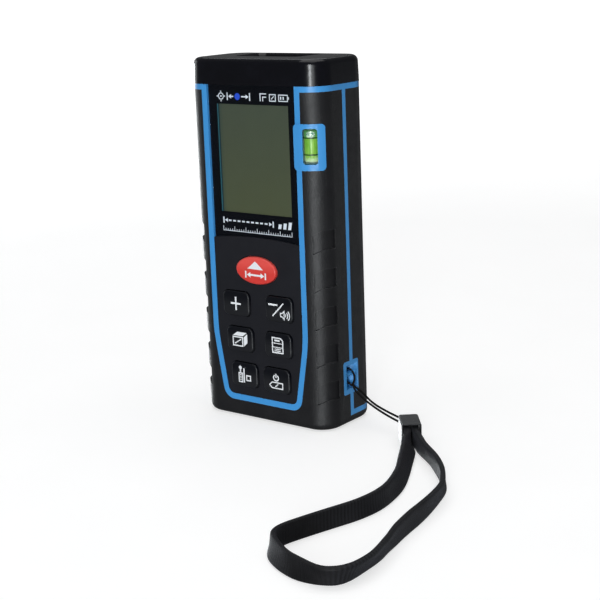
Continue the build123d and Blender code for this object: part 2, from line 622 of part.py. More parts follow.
def make_cell(x, flipped):
    cell = rod_z(x, CELL_Y, CELL_R, CELL_BOTTOM, CELL_BOTTOM + CELL_LENGTH)
    ends = cell.edges().filter_by(GeomType.CIRCLE)
    cell = fillet(ends, 0.4) + rod_z(
        x, CELL_Y, NUB_R, CELL_BOTTOM + CELL_LENGTH, CELL_BOTTOM + CELL_LENGTH + NUB_H)
    if flipped:
        cell = mirror(cell, about=Plane.XY.offset((BAY_TOP + BAY_BOTTOM) / 2))
    return cell


parts["battery_left"] = make_cell(-CELL_X, False)
parts["battery_right"] = make_cell(CELL_X, True)


def coil_spring(x, z_from, z_to):
    """A contact spring of four turns of wire between two heights."""
    height = z_to - z_from - 2 * SPRING_WIRE_R
    helix = Pos(x, CELL_Y, z_from + SPRING_WIRE_R) * Helix(
        pitch=height / SPRING_TURNS, height=height, radius=SPRING_R)
    section = Plane(origin=helix @ 0, z_dir=helix % 0) * Circle(SPRING_WIRE_R)
    return sweep(section, path=helix, is_frenet=True)


cell_low = CELL_BOTTOM - SPRING_GAP
parts["battery_springs"] = group([
    coil_spring(-CELL_X, BAY_BOTTOM + CONTACT_T + SPRING_GAP, cell_low),
    coil_spring(CELL_X, BAY_TOP - (cell_low - BAY_BOTTOM), BAY_TOP - CONTACT_T - SPRING_GAP),
])


def contact(x_from, x_to, z):
    return box_between((x_from, 0.2, z), (x_to, 9.4, z + CONTACT_T))


parts["battery_contacts"] = group([
    contact(-10.4, 10.4, BAY_BOTTOM),
    contact(-10.4, -0.9, BAY_TOP - CONTACT_T),
    contact(0.9, 10.4, BAY_TOP - CONTACT_T),
])


def make_cover():
    cover = front_prism(cover_outline, -FRONT, -FRONT + COVER_T)
    for side in (-1, 1):
        low_x, high_x = side * TAB_X - TAB_HALF, side * TAB_X + TAB_HALF
        cover += box_between((low_x, 11.0, 7.1), (high_x, 11.8, 10.2))
        cover += box_between((low_x, 11.0, 8.7), (high_x, 12.2, 10.2))
        cover -= Pos(side * LATCH_X, FRONT - 1, COVER_TOP - LATCH_LENGTH / 2 + 0.5) * Box(
            LATCH_SLOT, 3, LATCH_LENGTH + 1)
    for i in range(GROOVES):
        cover -= Pos(0, FRONT, COVER_TOP - 1.8 - GROOVE_PITCH * i) * Box(8.0, 0.8, 0.6)
    return cover


parts["battery_cover"] = make_cover()

# ================================================================ screws through the back
parts["housing_screws"] = group(
    rod_y(x, z, HEAD_R, HEAD_SEAT_Y, HEAD_SEAT_Y + HEAD_H) + rod_y(x, z, SCREW_R, SCREW_END_Y, HEAD_SEAT_Y)
    - Pos(x, HEAD_SEAT_Y + HEAD_H, z) * Box(DRIVE_LONG, HEAD_H, DRIVE_WIDE)
    - Pos(x, HEAD_SEAT_Y + HEAD_H, z) * Box(DRIVE_WIDE, HEAD_H, DRIVE_LONG)
    for x, z in SCREWS_XZ)


# ================================================================ wrist strap
def corner_radii(points, wrap=(), wrap_radius=0.0):
    """Each corner's arc: 0.45 of its shorter run over the tangent of half the turn."""
    radii = []
    for i in range(1, len(points) - 1):
        run_in = Vector(*points[i]) - Vector(*points[i - 1])
        run_out = Vector(*points[i + 1]) - Vector(*points[i])
        half_turn = math.radians(run_in.get_angle(run_out) / 2)
        radius = 0.45 * min(run_in.length, run_out.length) / math.tan(half_turn)
        radii.append(min(radius, wrap_radius) if i in wrap else radius)
    return radii


def routed(name, points, section_at, wrap=(), wrap_radius=0.0):
    """Sweeps a section along straight runs joined by arcs and prints what it made."""
    radii = corner_radii(points, wrap, wrap_radius)
    path = FilletPolyline(*points, radius=radii)
    section = section_at(path)
    solid = sweep(section, path=path)
    runs = [round((Vector(*b) - Vector(*a)).length, 1) for a, b in zip(points, points[1:])]
    print(name, "radii", [round(r, 1) for r in radii], "runs", runs)
    print(name, "length", round(path.length, 1), "volume ratio",
          round(solid.volume / (section.area * path.length), 4))
    return solid


def round_section(path):
    return Plane(origin=path @ 0, z_dir=path % 0) * Circle(CORD_D / 2)


def flat_section(path):
    return Plane(origin=path @ 0, x_dir=(0, 0, 1), z_dir=path % 0) * Rectangle(WEB_W, WEB_T)


parts["strap_cord"] = routed("strap_cord", CORD_ROUTE, round_section, CORD_WRAP, CORD_WRAP_R)
parts["strap_webbing"] = routed("strap_webbing", WEB_ROUTE, flat_section)

ferrule = Box(FERRULE_L, FERRULE_W, FERRULE_H)
ferrule = fillet(ferrule.edges().filter_by(Axis.X), FERRULE_EDGE_R)
ferrule = fillet(ferrule.edges().group_by(Axis.X)[0], 0.5)
mouth = Pos(FERRULE_L / 2 - FERRULE_MOUTH / 2 + 0.5, 0, 0) * Box(
    FERRULE_MOUTH + 1, FERRULE_W - 2 * FERRULE_WALL, FERRULE_H - 2 * FERRULE_WALL)
ferrule_place = Pos(FERRULE_AT[0], FERRULE_AT[1], FERRULE_H / 2) * Rot(0, 0, FERRULE_DEG)
parts["strap_ferrule"] = ferrule_place * (ferrule - mouth)

# ================================================================ files
os.makedirs("parts", exist_ok=True)
for name, shape in parts.items():
    export_step(shape, f"parts/{name}.step")
print(len(parts), "pieces")
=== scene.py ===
import json
import math

import bmesh
import bpy
from mathutils import Matrix, Vector


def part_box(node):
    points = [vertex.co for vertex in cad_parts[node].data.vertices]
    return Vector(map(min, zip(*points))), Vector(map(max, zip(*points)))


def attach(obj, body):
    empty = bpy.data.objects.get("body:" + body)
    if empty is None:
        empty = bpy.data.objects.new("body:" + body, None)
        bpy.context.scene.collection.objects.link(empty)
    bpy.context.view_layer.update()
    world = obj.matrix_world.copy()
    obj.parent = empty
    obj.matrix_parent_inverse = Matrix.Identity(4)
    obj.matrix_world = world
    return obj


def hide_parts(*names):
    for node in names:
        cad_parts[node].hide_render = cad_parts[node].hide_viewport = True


# The looks of a hand-held laser distance meter and its wrist strap, in the CAD model's frame:
# +Z up, the display faces -Y, the origin in the middle of the base. Drawn sizes are in mm.

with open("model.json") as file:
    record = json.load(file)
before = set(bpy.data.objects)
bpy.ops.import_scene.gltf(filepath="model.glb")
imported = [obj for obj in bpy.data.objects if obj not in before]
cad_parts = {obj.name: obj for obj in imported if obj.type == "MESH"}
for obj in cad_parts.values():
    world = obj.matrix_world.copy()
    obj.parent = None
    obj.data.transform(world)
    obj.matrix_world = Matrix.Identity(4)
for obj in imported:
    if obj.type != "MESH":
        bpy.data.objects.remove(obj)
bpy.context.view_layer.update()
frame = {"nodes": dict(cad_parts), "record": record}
nodes = frame["nodes"]
scene = bpy.context.scene
MM = 0.001

# ---------------------------------------------------------------- places taken over from the CAD part
KEY_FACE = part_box("key_plus")[0].y
GLASS_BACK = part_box("display_window")[1].y
RIB = 1.15                      # pitch of the wrist strap's cross ribs
AIR = 0.03 * MM                 # clearance between clear pieces and what lies behind them
KEY_CENTRES = {
    "key_measure": (0.0, 50.9), "key_plus": (-8.8, 39.1), "key_minus": (8.8, 39.1),
    "key_volume": (-7.85, 27.1), "key_memory": (7.85, 27.1),
    "key_unit": (-6.65, 15.1), "key_clear": (6.65, 15.1),
}
LCD_Z = (69.1, 103.7)           # foot and top of the display's picture
LCD_LEFT = -13.3                # its left edge
CELL_BAND_Z = 48.0              # where the batteries' two colours meet
VIAL_TOP_Z = (94.1, 95.0)       # painted shade darkens the level's fluid over this height, round the bubble
VIAL_FOOT_Z = (87.0, 88.6)      # and a painted highlight pales it over this one


# ================================================================ node materials
class Finish:
    """A procedural material built round one Principled shader, patterned in metres of the part."""

    def __init__(self, name, **uniform):
        self.material = bpy.data.materials.new(name)
        self.material.use_nodes = True
        self.tree = self.material.node_tree
        self.shader = self.tree.nodes["Principled BSDF"]
        for socket, value in uniform.items():
            self.shader.inputs[socket.replace("_", " ")].default_value = value
        self.place = self.add("ShaderNodeTexCoord").outputs["Object"]
        self.normal = None

    def add(self, kind, sockets=None, **settings):
        made = self.tree.nodes.new(kind)
        for key, value in settings.items():
            setattr(made, key, value)
        for key, value in (sockets or {}).items():
            if isinstance(value, bpy.types.NodeSocket):
                self.tree.links.new(value, made.inputs[key])
            else:
                made.inputs[key].default_value = value
        return made

    def grain(self, size_mm, detail=2.0, stretch=(1, 1, 1), rough=0.55, place=None):
        """Noise whose features are about size_mm across; stretch makes them longer along an axis."""
        scaled = self.add("ShaderNodeVectorMath", {0: place or self.place, 1: [1 / s for s in stretch]},
                          operation="MULTIPLY").outputs[0]
        sockets = {"Vector": scaled, "Scale": 1 / (size_mm * MM), "Detail": detail, "Roughness": rough}
        return self.add("ShaderNodeTexNoise", sockets).outputs["Fac"]

    def axis(self, letter, place=None):
        """One coordinate of a place, in metres of the part unless another map is given."""
        return self.add("ShaderNodeSeparateXYZ", {0: place or self.place}).outputs[letter]

    def front_bricks(self, scale_mm, **sockets):
        """A brick pattern laid out on the front view's plane."""
        turned_place = self.add("ShaderNodeVectorRotate", {"Vector": self.place, "Angle": math.pi / 2},
                                rotation_type="X_AXIS").outputs[0]
        named = {key.replace("_", " "): value for key, value in sockets.items()}
        named.update({"Vector": turned_place, "Scale": 1 / (scale_mm * MM)})
        return self.add("ShaderNodeTexBrick", named)

    def span(self, value, from_low, from_high, to_low=0.0, to_high=1.0):
        sockets = {"Value": value, "From Min": from_low, "From Max": from_high,
                   "To Min": to_low, "To Max": to_high}
        return self.add("ShaderNodeMapRange", sockets).outputs[0]

    def math(self, operation, a, b=0.0):
        return self.add("ShaderNodeMath", {0: a, 1: b}, operation=operation).outputs[0]

    def blend(self, share, a, b):
        colours = [(*c, 1.0) if isinstance(c, tuple) else c for c in (a, b)]
        return self.add("ShaderNodeMix", {0: share, 6: colours[0], 7: colours[1]},
                        data_type="RGBA").outputs[2]

    def edges(self, radius_mm, strength=6.0):
        """1 along sharp edges, where handling rubs the surface and where a painted highlight marks edges
        that catch the light, broken up by noise.
        """
        rounded = self.add("ShaderNodeBevel", {"Radius": radius_mm * MM}, samples=6).outputs[0]
        flat = self.add("ShaderNodeNewGeometry").outputs["Normal"]
        likeness = self.add("ShaderNodeVectorMath", {0: rounded, 1: flat}, operation="DOT_PRODUCT")
        mask = self.span(likeness.outputs["Value"], 1.0, 1.0 - 1.0 / strength)
        return self.math("MULTIPLY", mask, self.span(self.grain(1.1, 4.0), 0.35, 0.65))

    def paint(self, colour):
        self.tree.links.new(colour, self.shader.inputs["Base Color"])

    def rough(self, value):
        self.tree.links.new(value, self.shader.inputs["Roughness"])

    def bump(self, height, depth_mm, strength=1.0):
        sockets = {"Height": height, "Distance": depth_mm * MM, "Strength": strength}
        if self.normal:
            sockets["Normal"] = self.normal
        self.normal = self.add("ShaderNodeBump", sockets).outputs[0]
        self.tree.links.new(self.normal, self.shader.inputs["Normal"])


def moulded(name, dark, light, rough_low, rough_high, grain_mm, depth_mm, edge_wear_and_highlight=None, edge_wear_and_highlight_mm=0.35,
            **uniform):
    """Moulded plastic or rubber: a fine tool texture, slow cloudiness, and lighter edges, partly rubbed
    wear and partly painted highlight.
    """
    finish = Finish(name, **uniform)
    cloud = finish.span(finish.grain(9.0, 3.0), 0.3, 0.7)
    speckle = finish.span(finish.grain(grain_mm, 3.0), 0.3, 0.7)
    colour = finish.blend(finish.math("MULTIPLY", cloud, speckle), dark, light)
    if edge_wear_and_highlight:
        # edges painted lighter: partly rubbed wear, partly a painted highlight where edges would catch the
        # light
        colour = finish.blend(finish.math("MULTIPLY", finish.edges(edge_wear_and_highlight_mm), 0.5), colour, edge_wear_and_highlight)
    finish.paint(colour)
    finish.rough(finish.span(finish.grain(2.5, 4.0), 0.3, 0.7, rough_low, rough_high))
    finish.bump(speckle, depth_mm)
    return finish


def jacket_rubber():
    # the jacket's lighter edges are mostly painted highlight, outlining the grip notches as lit rims
    finish = moulded("jacket_rubber", (0.0085, 0.0085, 0.0098), (0.0165, 0.016, 0.017), 0.4, 0.5,
                     0.34, 0.03, edge_wear_and_highlight=(0.13, 0.13, 0.135), Specular_IOR_Level=0.32)
    scuff = finish.span(finish.grain(0.7, 2.0, (6, 6, 1)), 0.62, 0.75)
    finish.bump(scuff, 0.008)
    finish.bump(finish.grain(0.8, 2.0), 0.035)
    return finish.material


def blue_plastic():
    finish = moulded("blue_abs", (0.049, 0.275, 0.63), (0.062, 0.31, 0.69), 0.32, 0.42, 0.2, 0.004,
                     edge_wear_and_highlight=(0.12, 0.42, 0.85), Specular_IOR_Level=0.35)
    return finish.material


def gloss_black():
    finish = moulded("gloss_black", (0.0024, 0.0025, 0.0042), (0.0042, 0.0044, 0.0072), 0.19, 0.22,
                     1.6, 0.0012, edge_wear_and_highlight=(0.012, 0.012, 0.015), edge_wear_and_highlight_mm=0.5, Specular_IOR_Level=0.33)
    hairlines = finish.span(finish.grain(0.25, 1.0, (40, 1, 1)), 0.68, 0.8)
    finish.bump(hairlines, 0.001)
    return finish.material


def panel_black():
    finish = moulded("panel_black", (0.0105, 0.0108, 0.014), (0.0145, 0.0148, 0.019), 0.42, 0.5,
                     0.12, 0.006, edge_wear_and_highlight=(0.03, 0.03, 0.036), Specular_IOR_Level=0.25)
    return finish.material


def key_rubber(name, dark, light, rough_low, rough_high, upper=None):
    """Key rubber; a key's upper part can fade to another colour: painted shade on black keys, painted sheen
    on the red one.
    """
    finish = moulded(name, dark, light, rough_low, rough_high, 0.14, 0.004,
                     edge_wear_and_highlight=tuple(min(1.0, 1.3 * c + 0.006) for c in light), edge_wear_and_highlight_mm=0.3,
                     Specular_IOR_Level=0.34)
    # painted shading on the key's upper part: painted shade on the black keys, as a dished top turned from
    # the light, and a paler painted sheen on the red key
    if upper:
        own_place = finish.add("ShaderNodeTexCoord").outputs["Generated"]
        height = finish.axis("Z", own_place)
        wavy = finish.math("ADD", height, finish.span(finish.grain(1.2, 2.0), 0.0, 1.0, -0.05, 0.05))
        painted = finish.shader.inputs["Base Color"].links[0].from_socket
        finish.paint(finish.blend(finish.span(wavy, 0.42, 0.72), painted, upper))
    return finish.material


def black_plastic():
    finish = moulded("black_plastic", (0.008, 0.008, 0.009), (0.014, 0.014, 0.015), 0.45, 0.6, 0.35, 0.02,
                     edge_wear_and_highlight=(0.045, 0.045, 0.047))
    return finish.material


def ferrule_black():
    finish = moulded("ferrule_black", (0.012, 0.0125, 0.0145), (0.019, 0.0195, 0.022), 0.36, 0.48,
                     0.14, 0.01, edge_wear_and_highlight=(0.09, 0.09, 0.095), edge_wear_and_highlight_mm=0.25, Specular_IOR_Level=0.45,
                     Sheen_Weight=0.16, Sheen_Roughness=0.4)
    return finish.material


def clear_sheet(name, tint, mirror, grazing, smear_mm=6.0, haze=0.0):
    """A clear sheet: light goes straight through, and it mirrors more the flatter it is seen."""
    finish = Finish(name)
    finish.tree.nodes.remove(finish.shader)
    through = finish.add("ShaderNodeBsdfTransparent", {"Color": (*tint, 1.0)})
    smear = finish.span(finish.grain(smear_mm, 3.0), 0.35, 0.7, 0.03 + haze, 0.1 + haze)
    shine = finish.add("ShaderNodeBsdfGlossy", {"Roughness": smear, "Color": (0.95, 0.97, 1.0, 1.0)})
    facing = finish.add("ShaderNodeLayerWeight", {"Blend": 0.5}).outputs["Facing"]
    share = finish.span(finish.math("POWER", facing, 4.0), 0.0, 1.0, mirror, grazing)
    mixed = finish.add("ShaderNodeMixShader", {0: share, 1: through.outputs[0], 2: shine.outputs[0]})
    output = finish.tree.nodes["Material Output"]
    finish.tree.links.new(mixed.outputs[0], output.inputs["Surface"])
    return finish.material


def mask_ink():
    finish = moulded("mask_black", (0.0022, 0.0026, 0.0042), (0.0032, 0.0036, 0.0056), 0.3, 0.4, 0.3, 0.001,
                     Specular_IOR_Level=0.1)
    return finish.material


def lcd_grey():
    """An unlit display: grey green, browner to its foot, with the faint grid of its unlit segments, and
    painted shade, shadow and glint along its left edge.
    """
    finish = Finish("lcd_grey", Specular_IOR_Level=0.2)
    fall = finish.span(finish.axis("Z"), LCD_Z[0] * MM, LCD_Z[1] * MM)
    colour = finish.blend(fall, (0.083, 0.09, 0.044), (0.066, 0.077, 0.052))
    cloud = finish.span(finish.grain(7.0, 3.0, (1, 1, 3)), 0.3, 0.7, 0.0, 0.35)
    colour = finish.blend(cloud, colour, (0.078, 0.092, 0.054))
    # painted shade over the display's left 1.4 mm, a painted shadow in the narrow dark line along its edge,
    # and a painted glint, a thin teal line of reflected light, just outside it
    across = finish.math("SUBTRACT", finish.axis("X"), LCD_LEFT * MM)
    shade = finish.span(across, 0.0, 1.4 * MM, 0.28, 0.0)
    colour = finish.blend(shade, colour, (0.02, 0.045, 0.045))
    gap = finish.span(across, -0.15 * MM, 0.0, 1.0, 0.0)
    colour = finish.blend(gap, colour, (0.012, 0.03, 0.034))
    glint = finish.math("MULTIPLY", finish.span(across, -0.65 * MM, -0.6 * MM, 1.0, 0.0),
                        finish.span(across, -0.9 * MM, -0.85 * MM))
    colour = finish.blend(glint, colour, (0.03, 0.15, 0.19))
    dots = finish.front_bricks(0.42, Mortar_Size=0.03, Brick_Width=1.0, Row_Height=1.0,
                               Color1=(0.0, 0.0, 0.0, 1.0), Color2=(0.12, 0.12, 0.12, 1.0),
                               Mortar=(0.35, 0.35, 0.35, 1.0))
    dots.offset = 0.0
    share = finish.math("MULTIPLY", dots.outputs["Color"], 0.4)
    finish.paint(finish.blend(share, colour, (0.05, 0.058, 0.036)))
    finish.rough(finish.span(finish.grain(0.3), 0.3, 0.7, 0.3, 0.4))
    finish.bump(finish.grain(0.08, 1.0), 0.002)
    return finish.material


def ink(name, dark, light, patch_mm, raised_mm=0.0):
    """Screen-printed ink, patchy over patch_mm; with raised_mm it also stands up in fine grains."""
    finish = Finish(name, Specular_IOR_Level=0.3)
    patchy = finish.span(finish.grain(patch_mm, 2.0), 0.25, 0.75)
    finish.paint(finish.blend(patchy, dark, light))
    finish.rough(finish.span(finish.grain(0.3), 0.3, 0.7, 0.4, 0.55))
    if raised_mm:
        finish.bump(finish.grain(0.09, 1.0), raised_mm)
    return finish.material


def vial_liquid():
    """Dyed level fluid with a painted glow: long soft streaks of painted light, painted shade round the
    bubble, and a painted highlight that pales its foot.
    """
    finish = Finish("vial_green", Roughness=0.3, Specular_IOR_Level=0.2, Transmission_Weight=0.2,
                    IOR=1.4, Emission_Strength=0.14)
    # painted light: long soft streaks, as the round tube bends the light through the fluid
    painted_streaks = finish.span(finish.grain(0.42, 2.0, (1, 1, 16)), 0.35, 0.65)
    colour = finish.blend(painted_streaks, (0.155, 0.4, 0.038), (0.37, 0.61, 0.115))
    uneven = finish.span(finish.grain(0.7, 3.0), 0.3, 0.7, -0.6 * MM, 0.6 * MM)
    height = finish.math("ADD", finish.axis("Z"), uneven)
    # painted shade round the bubble, then a painted highlight that pales the fluid's foot
    top = finish.span(height, *(z * MM for z in VIAL_TOP_Z), 0.0, 0.7)
    colour = finish.blend(top, colour, (0.08, 0.3, 0.16))
    foot = finish.span(height, *(z * MM for z in VIAL_FOOT_Z), 0.9, 0.0)
    colour = finish.blend(foot, colour, (0.75, 0.82, 0.6))
    finish.paint(colour)
    # the colour also drives a painted glow, as if the fluid were lit from within
    finish.tree.links.new(colour, finish.shader.inputs["Emission Color"])
    finish.bump(finish.grain(0.8, 1.0, (1, 1, 8)), 0.01)
    return finish.material


def metal(name, colour, rough_low, rough_high, stretch=(1, 1, 8)):
    finish = Finish(name, Metallic=1.0)
    brushed = finish.span(finish.grain(0.25, 3.0, stretch), 0.3, 0.7)
    finish.paint(finish.blend(brushed, tuple(0.8 * c for c in colour), colour))
    finish.rough(finish.span(brushed, 0.0, 1.0, rough_low, rough_high))
    finish.bump(brushed, 0.006)
    return finish.material


def plain_plastic(name, colour, rough=0.45, grain_mm=0.3):
    light = tuple(min(1.0, 1.18 * c) for c in colour)
    return moulded(name, colour, light, rough - 0.06, rough + 0.06, grain_mm, 0.006).material


def circuit_board():
    """Solder mask over copper tracks, which stand a little proud and paler."""
    finish = Finish("board_green", Specular_IOR_Level=0.5)
    tracks = finish.front_bricks(3.0, Mortar_Size=0.05, Brick_Width=1.3, Row_Height=0.4)
    finish.paint(finish.blend(tracks.outputs["Fac"], (0.008, 0.09, 0.03), (0.03, 0.2, 0.07)))
    finish.rough(finish.span(finish.grain(0.5), 0.3, 0.7, 0.25, 0.4))
    finish.bump(tracks.outputs["Fac"], 0.03)
    return finish.material


def cell_wrap():
    """A battery's shrink wrap: two plain bands of colour."""
    finish = Finish("cell_wrap", Specular_IOR_Level=0.5)
    band = finish.span(finish.axis("Z"), (CELL_BAND_Z - 0.1) * MM, (CELL_BAND_Z + 0.1) * MM)
    colour = finish.blend(band, (0.02, 0.02, 0.022), (0.62, 0.4, 0.12))
    dull = finish.span(finish.grain(2.0, 3.0), 0.3, 0.8, 0.0, 0.3)
    finish.paint(finish.blend(dull, colour, (0.3, 0.28, 0.25)))
    finish.rough(finish.span(finish.grain(1.0), 0.3, 0.7, 0.2, 0.34))
    finish.bump(finish.grain(1.5, 2.0, (1, 1, 3)), 0.02)
    return finish.material


def woven(name, dark, light, sheen, shine, ribs=0.0):
    """Black polyester yarn, run lengthwise; the weave map holds distance along and round the strap."""
    finish = Finish(name, Specular_IOR_Level=shine, Sheen_Weight=sheen, Sheen_Roughness=0.45,
                    Sheen_Tint=(0.8, 0.82, 0.95, 1.0))
    weave = finish.add("ShaderNodeUVMap", uv_map="weave").outputs[0]
    yarn = finish.grain(0.22, 2.0, (1, 1, 1), 0.6, weave)
    cloud = finish.span(finish.grain(6.0, 3.0), 0.3, 0.7)
    colour = finish.blend(finish.math("MULTIPLY", finish.span(yarn, 0.3, 0.7), cloud), dark, light)
    if ribs:
        # painted sheen: the rib tops are painted a paler blue grey in patches, as if they caught the light
        length = finish.axis("X", weave)
        wave = finish.math("COSINE", finish.math("MULTIPLY", length, 2 * math.pi / (RIB * MM)))
        sheen_patches = finish.span(finish.grain(26.0, 1.0), 0.42, 0.6, 0.1, 1.0)
        share = finish.math("MULTIPLY", finish.span(wave, -1.0, 1.0, 0.15 * ribs, ribs), sheen_patches)
        colour = finish.blend(share, colour, (0.0195, 0.02, 0.0235))
    finish.paint(colour)
    finish.rough(finish.span(yarn, 0.3, 0.7, 0.5, 0.72))
    finish.bump(yarn, 0.06)
    return finish.material


white_print = ink("white_ink", (0.72, 0.74, 0.77), (0.86, 0.87, 0.89), 0.12, 0.004)
blue_print = ink("blue_ink", (0.02, 0.07, 0.55), (0.03, 0.1, 0.68), 0.15)

FINISHES = {
    "blue_abs": blue_plastic(),
    "jacket_rubber": jacket_rubber(),
    "gloss_black": gloss_black(),
    "black_plastic": black_plastic(),
    "panel_black": panel_black(),
    "window_clear": clear_sheet("window_clear", (0.97, 0.985, 1.0), 0.006, 0.35),
    "mask_black": mask_ink(),
    "optic_glass": clear_sheet("optic_glass", (0.5, 0.42, 0.46), 0.04, 0.5),
    "vial_clear": clear_sheet("vial_clear", (0.97, 1.0, 0.96), 0.014, 0.5, 1.5, 0.3),
    "vial_green": vial_liquid(),
    "ring_black": plain_plastic("ring_black", (0.006, 0.05, 0.01), 0.4),
    "white_plastic": plain_plastic("white_plastic", (0.7, 0.72, 0.7), 0.4),
    "steel_sheet": metal("steel_sheet", (0.62, 0.62, 0.6), 0.22, 0.38),
    "board_green": circuit_board(),
    "chip_black": plain_plastic("chip_black", (0.012, 0.012, 0.013), 0.5, 0.12),
    "screw_steel": metal("screw_steel", (0.1, 0.1, 0.105), 0.35, 0.5, (1, 1, 1)),
    "lcd_grey": lcd_grey(),
    "light_guide": plain_plastic("light_guide", (0.75, 0.78, 0.74), 0.2),
    "connector_rubber": plain_plastic("connector_rubber", (0.5, 0.16, 0.14), 0.6),
    "bench_grey": plain_plastic("bench_grey", (0.03, 0.03, 0.033), 0.55),
    "lens_glass": clear_sheet("lens_glass", (0.9, 0.93, 0.95), 0.05, 0.6, 2.0),
    "barrel_brass": metal("barrel_brass", (0.78, 0.55, 0.24), 0.2, 0.34),
    "diode_steel": metal("diode_steel", (0.7, 0.66, 0.5), 0.18, 0.3, (1, 1, 1)),
    "cell_wrap": cell_wrap(),
    "cord_black": woven("cord_black", (0.003, 0.003, 0.003), (0.009, 0.008, 0.0075), 0.0, 0.12),
    "webbing_black": woven("webbing_black", (0.0022, 0.0021, 0.0024), (0.0135, 0.0125, 0.0138),
                           0.045, 0.2, ribs=0.8),
    "ferrule_black": ferrule_black(),
    "key_red": key_rubber("key_red", (0.63, 0.042, 0.034), (0.72, 0.066, 0.054), 0.28, 0.38,
                          upper=(0.75, 0.085, 0.072)),
    "key_black": key_rubber("key_black", (0.0105, 0.011, 0.0132), (0.0155, 0.016, 0.0185), 0.36, 0.46,
                            upper=(0.0012, 0.0018, 0.0042)),
}
for material in frame["record"]["materials"]:
    for node in nodes.values():
        slot = node.material_slots[0]
        if slot.material and slot.material.name.split(".")[0] == material["slot"]:
            slot.material = FINISHES[material["slot"]]


# ================================================================ edges of the CAD pieces
def welded_smooth():
    """Geometry nodes that join the CAD mesh's split corners and shade it smooth."""
    group = bpy.data.node_groups.new("welded_smooth", "GeometryNodeTree")
    group.interface.new_socket("Geometry", in_out="INPUT", socket_type="NodeSocketGeometry")
    group.interface.new_socket("Geometry", in_out="OUTPUT", socket_type="NodeSocketGeometry")
    entry = group.nodes.new("NodeGroupInput")
    merge = group.nodes.new("GeometryNodeMergeByDistance")
    merge.inputs["Distance"].default_value = 0.001 * MM
    drop = group.nodes.new("GeometryNodeRemoveAttribute")
    drop.inputs["Name"].default_value = "custom_normal"
    shade = group.nodes.new("GeometryNodeSetShadeSmooth")
    leave = group.nodes.new("NodeGroupOutput")
    chain = (entry, merge, drop, shade, leave)
    for before, after in zip(chain, chain[1:]):
        group.links.new(before.outputs[0], after.inputs[0])
    return group


WELDED = welded_smooth()


def soften(obj, edge_mm, segments=2, angle=38):
    """Rounds an object's hard edges by modifiers and keeps its broad faces flat in shading."""
    obj.modifiers.new("weld", "NODES").node_group = WELDED
    bevel = obj.modifiers.new("edges", "BEVEL")
    bevel.width = edge_mm * MM
    bevel.segments = segments
    bevel.limit_method = "ANGLE"
    bevel.angle_limit = math.radians(angle)
    bevel.use_clamp_overlap = True
    normals = obj.modifiers.new("normals", "WEIGHTED_NORMAL")
    normals.mode = "FACE_AREA"
    normals.keep_sharp = False


# width of the small bevel on each piece's hard edges
EDGE_MM = {
    "front_jacket": 0.16, "rear_jacket": 0.16, "front_shell": 0.1, "rear_shell": 0.1, "vial_bezel": 0.45,
    "top_cap": 0.15, "battery_cover": 0.2, "keypad_panel": 0.12, "strap_ferrule": 0.15,
    "optical_bench": 0.2, "lcd_frame": 0.1, "board_chips": 0.1, "main_board": 0.05,
}
for name, width in EDGE_MM.items():
    soften(nodes[name], width)


# ================================================================ small mesh tools
def add_piece(name, bm, body, slot=None, material=None, smooth=True):
    """A finished piece from mesh code, riding on a CAD body, in a slot's finish or one of its own."""
    bmesh.ops.recalc_face_normals(bm, faces=bm.faces)
    mesh = bpy.data.meshes.new(name)
    bm.to_mesh(mesh)
    bm.free()
    if smooth:
        mesh.shade_smooth()
    mesh.materials.append(material or FINISHES[slot])
    obj = bpy.data.objects.new(name, mesh)
    scene.collection.objects.link(obj)
    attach(obj, body)
    return obj


def ring_bridge(bm, ring, after):
    count = len(ring)
    for i in range(count):
        bm.faces.new((ring[i], ring[(i + 1) % count], after[(i + 1) % count], after[i]))


def turned(bm, x, y, radius, z, sides):
    """One ring of vertices round a vertical axis; sizes in mm."""
    angles = [2 * math.pi * i / sides for i in range(sides)]
    return [bm.verts.new(((x + radius * math.cos(a)) * MM, (y + radius * math.sin(a)) * MM, z * MM))
            for a in angles]


def lathe(profile, x, y, sides=48):
    """A closed profile of (radius, z) in mm turned about a vertical axis."""
    bm = bmesh.new()
    rings = [turned(bm, x, y, radius, z, sides) for radius, z in profile]
    for ring, after in zip(rings, rings[1:] + rings[:1]):
        ring_bridge(bm, ring, after)
    return bm


def capped_lathe(profile, x, y, sides=48):
    """A profile that starts and ends on the axis, turned about a vertical axis."""
    bm = bmesh.new()
    low = bm.verts.new((x * MM, y * MM, profile[0][1] * MM))
    high = bm.verts.new((x * MM, y * MM, profile[-1][1] * MM))
    rings = [turned(bm, x, y, radius, z, sides) for radius, z in profile[1:-1]]
    for ring, after in zip(rings, rings[1:]):
        ring_bridge(bm, ring, after)
    for i in range(sides):
        bm.faces.new((low, rings[0][(i + 1) % sides], rings[0][i]))
        bm.faces.new((high, rings[-1][i], rings[-1][(i + 1) % sides]))
    return bm


